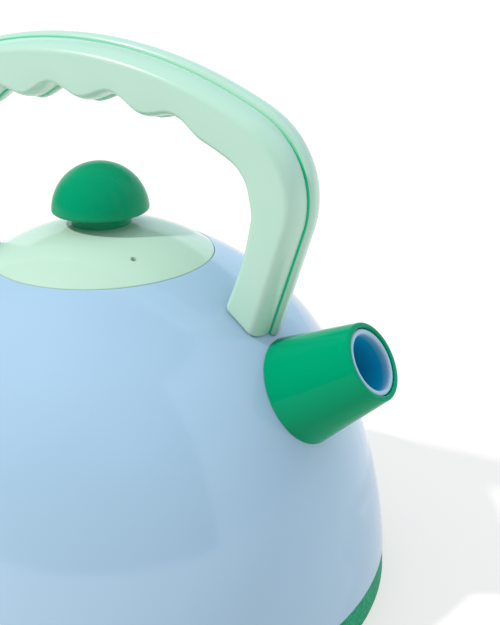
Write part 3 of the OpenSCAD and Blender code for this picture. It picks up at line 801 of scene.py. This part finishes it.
class KETTLE_OT_handle(bpy.types.Operator):
    """Sweep the two halves of the handle along its arch and round their feet"""

    bl_idname = "toy_kettle.handle"
    bl_label = "Handle"

    outer_steps = 10
    inner_steps = 14
    lip_steps = 8
    groove_steps = 3
    foot_steps = 5

    def execute(self, context):
        settings = context.scene.toy_kettle
        screws = settings.screws
        halves = (("handle_front_half", "handle_front", -1), ("handle_rear_half", "handle_rear", 1))
        for name, node, side in halves:
            arch = Arch(settings.handle, settings.body, side)
            piece = new_object(self.half(arch, side), name, finish("handle_mint"), finish("seam_green"))
            if side > 0:
                face = Matrix.Translation((0.0, settings.handle.thickness / 2, 0.0))
                upright = Matrix.Rotation(-pi / 2, 4, "X")
                carve(piece, head_recesses("handle_screws", screws, screws.handle_seat, face @ upright))
            dress(piece, KETTLE, node)
        return {"FINISHED"}

    def front_section(self, handle, width):
        """Outline of the front half across the bar: X in from the rear's edge, Z out from the seam."""
        face, step, seam = handle.thickness / 2, handle.front_step, handle.seam
        foot = 2 * seam
        groove, wave_groove = step + handle.seam_depth, width - seam - handle.seam_depth
        path = Profile(groove, 0.0)
        path.line((groove, seam), (step + seam, seam))
        path.arc((step + seam, foot), pi / 2, self.groove_steps)
        self.long_edge(path, (step, foot), handle.front_round, face)
        self.inner_edge(path, width, handle.inner_round, face, foot)
        path.arc((width - seam, foot), pi / 2, self.groove_steps)
        path.line((wave_groove, seam), (wave_groove, 0.0))
        path.close()
        return path.bm

    def rear_section(self, handle, width):
        """Outline of the rear half, which stands out beyond the front half on both sides of the seam."""
        face, lip, wave_lip = handle.thickness / 2, handle.lip_round, handle.wave_lip
        groove = handle.front_step + handle.seam_depth
        path = Profile(groove, 0.0)
        path.line((lip, 0.0))
        path.arc((lip, lip), pi / 2, self.lip_steps)
        self.long_edge(path, (0.0, lip), handle.edge_round, face)
        self.inner_edge(path, width, handle.edge_round, face, wave_lip)
        path.arc((width - wave_lip, wave_lip), pi / 2, self.lip_steps)
        path.line((width - groove, 0.0))
        path.close()
        return path.bm

    def long_edge(self, path, foot, radius, face):
        """Rounds an outer edge from a point beside the seam up to the face."""
        path.arc((foot[0] + radius, foot[1]), pi / 2, self.outer_steps)
        raised = [vert for vert in path.bm.verts if vert.co.z > foot[1] + WELD]
        self.stretch(path.bm, foot[1], (face - foot[1]) / radius, raised)

    def inner_edge(self, path, width, radius, face, foot):
        """Runs on along the face and rounds the inner edge down to a height beside the seam."""
        path.line((width - radius, face))
        path.arc((width - radius, face - radius), pi / 2, self.inner_steps)
        rounded = [vert for vert in path.bm.verts if vert.co.x > width - radius + WELD]
        self.stretch(path.bm, face, (face - foot) / radius, rounded)

    @staticmethod
    def stretch(bm, height, factor, verts):
        """Stretches vertices along Z, away from a height."""
        space = Matrix.Translation((0.0, 0.0, -height))
        bmesh.ops.scale(bm, verts=verts, vec=(1.0, 1.0, factor), space=space)

    def half(self, arch, side):
        """One half: its section carried along the stations, its feet cut and rounded."""
        handle = arch.handle
        stations = arch.stations()
        place, lean, width = stations[0]
        bm = self.front_section(handle, width) if side < 0 else self.rear_section(handle, width)
        inward, along = -arch.way(lean), arch.way(lean - pi / 2)
        stand = Matrix((inward, along, (0.0, side, 0.0))).transposed().to_4x4()
        bmesh.ops.transform(bm, matrix=Matrix.Translation(place) @ stand, verts=bm.verts)
        loop = bm.edges[:]
        for new_place, new_lean, new_width in stations[1:]:
            verts, loop = self.lengthen(bm, loop)
            inner = [vert for vert in verts if (place - vert.co).dot(arch.way(lean)) > width / 2]
            swing = Matrix.Rotation(new_lean - lean, 4, "Y")
            move = Matrix.Translation(new_place) @ swing @ Matrix.Translation(-place)
            bmesh.ops.transform(bm, matrix=move, verts=verts)
            bmesh.ops.translate(bm, verts=inner, vec=arch.way(new_lean) * (width - new_width))
            place, lean, width = new_place, new_lean, new_width
        for foot_side in (1, -1):
            self.round_foot(bm, arch, foot_side)
        bmesh.ops.remove_doubles(bm, verts=bm.verts, dist=WELD)
        bmesh.ops.recalc_face_normals(bm, faces=bm.faces)
        # Faces in the seam groove, and the rear half's edge beside it, take the seam's painted shade and
        # painted light.
        groove = (handle.seam if side < 0 else handle.seam / 2) + WELD
        for face in bm.faces:
            if all(abs(vert.co.y) < groove for vert in face.verts):
                face.material_index = 1
        return bm

    @staticmethod
    def lengthen(bm, loop):
        """Extrudes a loop of edges and gives the new loop's vertices and edges."""
        grown = bmesh.ops.extrude_edge_only(bm, edges=loop)["geom"]
        verts = [item for item in grown if isinstance(item, bmesh.types.BMVert)]
        known = set(verts)
        edges = {edge for vert in verts for edge in vert.link_edges if edge.other_vert(vert) in known}
        return verts, list(edges)

    def round_foot(self, bm, arch, side):
        """Cuts a leg parallel to the dome under it and rounds its end."""
        handle, dome = arch.handle, arch.dome
        normal = Vector((side * arch.foot.x, 0.0, arch.foot.z - dome.crown[1])).normalized()
        leg = Vector((side * arch.up.x, 0.0, arch.up.z))
        touch = Vector((0.0, 0.0, dome.crown[1])) + normal * (dome.crown_radius - handle.foot_sink)
        near = [item for item in bm.verts[:] + bm.edges[:] + bm.faces[:] if side * self.middle_x(item) > 0]
        above = touch + normal * handle.foot_round
        cut = bmesh.ops.bisect_plane(bm, geom=near, plane_co=above, plane_no=normal, clear_inner=True)
        loop = [item for item in cut["geom_cut"] if isinstance(item, bmesh.types.BMEdge)]
        down = leg / leg.dot(normal) * handle.foot_round
        middle, size = touch + down, 1.0
        for step in range(self.foot_steps):
            bend = pi / 2 * (step + 1) / self.foot_steps
            verts, loop = self.lengthen(bm, loop)
            new_middle = touch + down * (1 - sin(bend))
            new_size = 1 - handle.foot_round * (1 - cos(bend)) / (handle.leg_width / 2)
            bmesh.ops.scale(bm, verts=verts, vec=(new_size / size,) * 3, space=Matrix.Translation(-middle))
            bmesh.ops.translate(bm, verts=verts, vec=new_middle - middle)
            middle, size = new_middle, new_size
        bmesh.ops.contextual_create(bm, geom=loop)

    @staticmethod
    def middle_x(item):
        """Middle of a vertex, edge or face along X."""
        verts = [item] if isinstance(item, bmesh.types.BMVert) else item.verts
        return sum(vert.co.x for vert in verts) / len(verts)


class KETTLE_OT_spout(bpy.types.Operator):
    """Spin the spout's tube and conical sleeve and set them on the dome"""

    bl_idname = "toy_kettle.spout"
    bl_label = "Spout"

    def execute(self, context):
        settings = context.scene.toy_kettle
        self.tube(settings)
        self.sleeve(settings)
        return {"FINISHED"}

    @staticmethod
    def tube(settings):
        """The blue tube with its round rim and its flange inside the body."""
        body, spout = settings.body, settings.spout
        bore, flange = spout.bore / 2, spout.flange_width / 2
        inside = body.crown_radius - body.wall
        low = inside - spout.flange - flange ** 2 / (2 * inside)
        rim = (spout.tube - spout.bore) / 4
        top = body.crown_radius + spout.reach - spout.recess - rim
        path = Profile(bore, low)
        path.line((bore, top))
        path.arc((bore + rim, top), pi, TUBE_STEPS)
        path.line((spout.tube / 2, low + spout.flange), (flange, low + spout.flange), (flange, low))
        path.close()
        bm = path.spin_round()
        for face in bm.faces:
            if all(hypot(vert.co.x, vert.co.y) < bore + WELD for vert in face.verts):
                face.material_index = 1
        bmesh.ops.transform(bm, matrix=spout_frame(settings), verts=bm.verts)
        piece = new_object(bm, "spout_inner_tube", finish("tube_blue"), finish("bore_blue"))
        dress(piece, KETTLE, "spout_tube")

    def sleeve(self, settings):
        """The green cone, its base cut to the dome."""
        body, spout = settings.body, settings.spout
        base, bore, edge = spout.sleeve_base / 2, spout.tube / 2 + spout.fit, spout.sleeve_round
        mouth = body.crown_radius + spout.reach
        foot = sqrt(body.crown_radius ** 2 - base ** 2)
        taper = atan2(base - spout.sleeve_mouth / 2, mouth - foot)
        deep = foot - spout.sleeve_wall
        knee = (spout.sleeve_mouth / 2 - edge, mouth - edge)
        path = Profile(bore, mouth - edge / 2)
        path.line((bore + edge / 2, mouth), (knee[0], mouth))
        path.arc(knee, pi / 2 - taper, EDGE_STEPS)
        path.line((base + (foot - deep) * tan(taper), deep), (base - spout.sleeve_wall, deep),
                  (bore, mouth - spout.land))
        path.close()
        bm = path.spin_round()
        bmesh.ops.transform(bm, matrix=spout_frame(settings), verts=bm.verts)
        piece = new_object(bm, "spout_cone_sleeve", finish("sleeve_green"))
        carve(piece, self.dome_form(body, spout.seat_gap))
        dress(piece, KETTLE, "spout_sleeve")

    @staticmethod
    def dome_form(body, hair):
        """A solid dome a hair larger than the body, its corners off the sleeve's middle plane."""
        dome = Dome(body)
        path = Profile(0.0, dome.crown[1] + body.crown_radius + hair)
        path.arc(dome.crown, dome.join, FORM_STEPS)
        path.arc(dome.side, dome.side_angle(body.base_height, -hair) - dome.join, SIDE_STEPS)
        path.line((0.0, body.base_height))
        bm = path.spin_round()
        half_step = Matrix.Rotation(pi / TURN_STEPS, 3, "Z")
        bmesh.ops.rotate(bm, verts=bm.verts, cent=(0.0, 0.0, 0.0), matrix=half_step)
        return bm


class KETTLE_OT_screws(bpy.types.Operator):
    """Plate the CAD screws and the washer with zinc"""

    bl_idname = "toy_kettle.screws"
    bl_label = "Screws"

    def execute(self, context):
        for node in ("base_screws", "handle_screws", "foot_screws", "knob_screw", "knob_washer"):
            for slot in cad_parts[node].material_slots:
                slot.material = finish("screw_zinc")
        return {"FINISHED"}


class KETTLE_OT_stage(bpy.types.Operator):
    """Lay the floor, light the studio and set the camera"""

    bl_idname = "toy_kettle.stage"
    bl_label = "Stage"

    floor_cells = 8
    floor_reach = 3.0
    floor_glow = 0.56
    key_strength = 2.5
    key_spread = radians(2.5)
    to_key = (-0.4393, -0.5051, 0.7429)
    to_backdrop = (0.242, 0.970, 0.0)
    backdrop_top = sin(radians(25))
    card_top = sin(radians(57))
    card_start = 0.35
    card_edge = 0.03
    dark_side = 0.06
    white_side = 1.0
    front_light = 0.28
    back_light = 1.2
    top_light = 0.47
    glint_strength = 1.2
    glint_pieces = ("handle_front_half", "handle_rear_half", "spout_cone_sleeve")
    camera_place = (0.1492, -0.1932, 0.1671)
    camera_turns = ((29.137, "Z"), (90 - 21.67, "X"), (-0.40, "Z"))

    def execute(self, context):
        self.floor(context.scene.toy_kettle.colours.floor)
        self.light(context)
        self.camera(context)
        return {"FINISHED"}

    def floor(self, pale):
        """A wide pale floor with a faint mottle."""
        bm = bmesh.new()
        cells = self.floor_cells
        bmesh.ops.create_grid(bm, x_segments=cells, y_segments=cells, size=self.floor_reach)
        made = Surface("studio_floor")
        new_object(bm, "studio_floor", made.give({
            "Base Color": made.uneven(MOTTLE, pale, share=0.99),
            "Roughness": 0.7,
            "Specular IOR Level": 0.1,
            "Emission Color": (*WHITE, 1.0),
            "Emission Strength": self.floor_glow,
        }))

    def light(self, context):
        """A hard key from the left, its glint on the edges and the studio round the table."""
        self.sun(context, "Key", self.key_strength).visible_glossy = False
        glint = self.sun(context, "Glint", self.glint_strength)
        glint.visible_diffuse = False
        satin = bpy.data.collections.new("Glinting pieces")
        for name in self.glint_pieces:
            satin.objects.link(bpy.data.objects[name])
        glint.light_linking.receiver_collection = satin
        world = context.scene.world or bpy.data.worlds.new("Studio")
        context.scene.world = world
        world.use_nodes = True
        self.studio(Net(world.node_tree), context.scene.toy_kettle.colours.air)

    def studio(self, net, air):
        """Soft light all round; mirror images show a white backdrop and card in a dark room."""
        way = net.nodes.new("ShaderNodeTexCoord").outputs["Generated"]
        across, height = net.part(way, "X"), net.part(way, "Z")
        behind = net.along(way, self.to_backdrop)
        back = net.soft_step(behind, 0.0, self.card_edge)
        low = net.soft_step(height, self.backdrop_top, -self.card_edge)
        card = net.join("MULTIPLY", net.soft_step(height, self.card_top, -self.card_edge),
                        net.soft_step(across, self.card_start, self.card_edge))
        white = net.join("MULTIPLY", back, net.join("MAXIMUM", low, card))
        mirrored = net.spread(white, self.dark_side, self.white_side, 0.0, 1.0)
        soft = net.join("ADD", net.spread(behind, self.front_light, self.back_light, -1.0, 1.0),
                        net.spread(height, 0.0, self.top_light, 0.0, 1.0))
        ray = net.nodes.new("ShaderNodeLightPath").outputs
        seen = ray["Is Camera Ray"]
        level = net.choose(ray["Is Glossy Ray"], soft, mirrored)
        net.put(net.nodes["Background"], "Color", net.blend(seen, air, WHITE))
        net.put(net.nodes["Background"], "Strength", net.choose(seen, level, self.white_side))

    def sun(self, context, name, strength):
        """A sun lamp in the key's direction."""
        light = bpy.data.lights.new(name, "SUN")
        light.energy = strength
        light.angle = self.key_spread
        lamp = bpy.data.objects.new(name, light)
        lamp.rotation_euler = Vector(self.to_key).to_track_quat("Z", "Y").to_euler()
        context.scene.collection.objects.link(lamp)
        return lamp

    def camera(self, context):
        """The photograph's viewing angle, worked out from the kettle's outlines."""
        lens = bpy.data.cameras.new("Camera")
        lens.sensor_width = 36.0
        lens.lens = 58.88
        lens.clip_start, lens.clip_end = 0.01, 20.0
        camera = bpy.data.objects.new("Camera", lens)
        stand = Matrix.Translation(self.camera_place)
        for degrees, axis in self.camera_turns:
            stand @= Matrix.Rotation(radians(degrees), 4, axis)
        camera.matrix_world = stand
        context.scene.collection.objects.link(camera)
        context.scene.camera = camera
        context.scene.view_settings.view_transform = "Standard"


STEPS = (KETTLE_OT_body, KETTLE_OT_base, KETTLE_OT_lid, KETTLE_OT_knob, KETTLE_OT_handle, KETTLE_OT_spout,
         KETTLE_OT_screws, KETTLE_OT_stage)


class KETTLE_PT_panel(bpy.types.Panel):
    """Sizes, colours and steps of the toy kettle"""

    bl_idname = "KETTLE_PT_panel"
    bl_label = "Toy Kettle"
    bl_space_type = "VIEW_3D"
    bl_region_type = "UI"
    bl_category = "Toy Kettle"

    def draw(self, context):
        settings = context.scene.toy_kettle
        for group in (settings.body, settings.lid, settings.handle, settings.spout, settings.screws,
                      settings.colours):
            box = self.layout.box()
            box.label(text=group.bl_rna.description)
            for name in group.__annotations__:
                box.prop(group, name)
        for step in STEPS:
            self.layout.operator(step.bl_idname)


CLASSES = (BodySizes, LidSizes, HandleSizes, SpoutSizes, ScrewSizes, Colours, KettleSettings, *STEPS,
           KETTLE_PT_panel)


def register():
    """Registers the add-on's classes and its settings."""
    for made in CLASSES:
        bpy.utils.register_class(made)
    bpy.types.Scene.toy_kettle = PointerProperty(type=KettleSettings)


def unregister():
    """Takes them away again."""
    del bpy.types.Scene.toy_kettle
    for made in reversed(CLASSES):
        bpy.utils.unregister_class(made)


def main():
    """Builds the kettle and its studio."""
    register()
    bpy.ops.toy_kettle.body()
    bpy.ops.toy_kettle.base()
    bpy.ops.toy_kettle.lid()
    bpy.ops.toy_kettle.knob()
    bpy.ops.toy_kettle.handle()
    bpy.ops.toy_kettle.spout()
    bpy.ops.toy_kettle.screws()
    bpy.ops.toy_kettle.stage()


if __name__ == "__main__":
    main()
